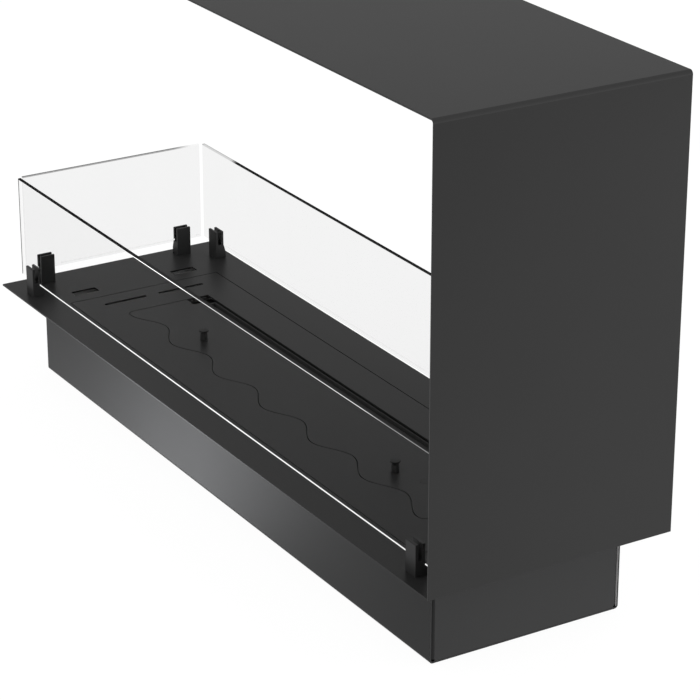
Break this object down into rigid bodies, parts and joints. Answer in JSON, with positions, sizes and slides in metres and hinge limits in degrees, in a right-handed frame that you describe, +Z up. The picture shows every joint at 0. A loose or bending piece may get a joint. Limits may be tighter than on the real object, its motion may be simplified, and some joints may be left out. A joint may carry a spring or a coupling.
{
  "type": "bioethanol fireplace insert",
  "caption": "Three-sided bioethanol fireplace insert with an end panel and top plate, clipped glass panes and a drop-in burner with a wave-fronted sliding shutter.",
  "frame": {"origin": "middle of the housing's underside, under the middle of the base plate", "axes": "+X along the base plate towards the end panel, +Y from the front towards the back, +Z up"},
  "size_m": [1, 0.3, 0.601],
  "materials": {
    "casing": "matt black powder coat",
    "housing": "satin black powder coat",
    "clip": "satin black",
    "knob": "satin black",
    "stainless": "brushed",
    "fastener": "machined",
    "bush": "turned",
    "pad": "matt",
    "absorber": "fibrous, matt",
    "glass": "clear, polished edges"
  },
  "bodies": {
    "casing": {"base_plate": "casing", "surround": "casing", "corner_angle": "casing", "housing_channel": "housing", "housing_end_left": "housing", "housing_end_right": "housing", "cross_ledge_left": "housing", "cross_ledge_right": "housing", "spill_tray": "stainless", "glass_clip_front_left": "clip", "glass_clip_front_right": "clip", "glass_clip_back_left": "clip", "glass_clip_back_right": "clip", "glass_clip_left_front": "clip", "glass_clip_left_back": "clip", "clip_screws": "fastener", "clip_pads": "pad"},
    "burner": {"burner_cover": "casing", "shutter_bed": "stainless", "burner_tank": "stainless", "tank_deck": "stainless", "tank_hanger_left": "stainless", "tank_hanger_right": "stainless", "tank_rivets": "fastener", "ceramic_block_left": "absorber", "ceramic_block_middle": "absorber", "ceramic_block_right": "absorber"},
    "shutter": {"shutter_plate": "casing", "shutter_knob_left": "knob", "shutter_knob_right": "knob", "knob_screws": "fastener", "knob_washers": "fastener", "slide_bushes": "bush", "stop_pin": "casing"},
    "pane_front": {"glass_front": "glass"},
    "pane_back": {"glass_back": "glass"},
    "pane_left": {"glass_left": "glass"}
  },
  "joints": [
    {"name": "burner_lift", "type": "slide", "parent": "casing", "child": "burner", "axis": [0, 0, 1], "range_m": [0, 0.15]},
    {"name": "shutter_slide", "type": "slide", "parent": "burner", "child": "shutter", "axis": [0, 1, 0], "range_m": [0, 0.017]},
    {"name": "pane_front_lift", "type": "slide", "parent": "casing", "child": "pane_front", "axis": [0, 0, 1], "range_m": [0, 0.06]},
    {"name": "pane_back_lift", "type": "slide", "parent": "casing", "child": "pane_back", "axis": [0, 0, 1], "range_m": [0, 0.06]},
    {"name": "pane_left_lift", "type": "slide", "parent": "casing", "child": "pane_left", "axis": [0, 0, 1], "range_m": [0, 0.06]}
  ]
}
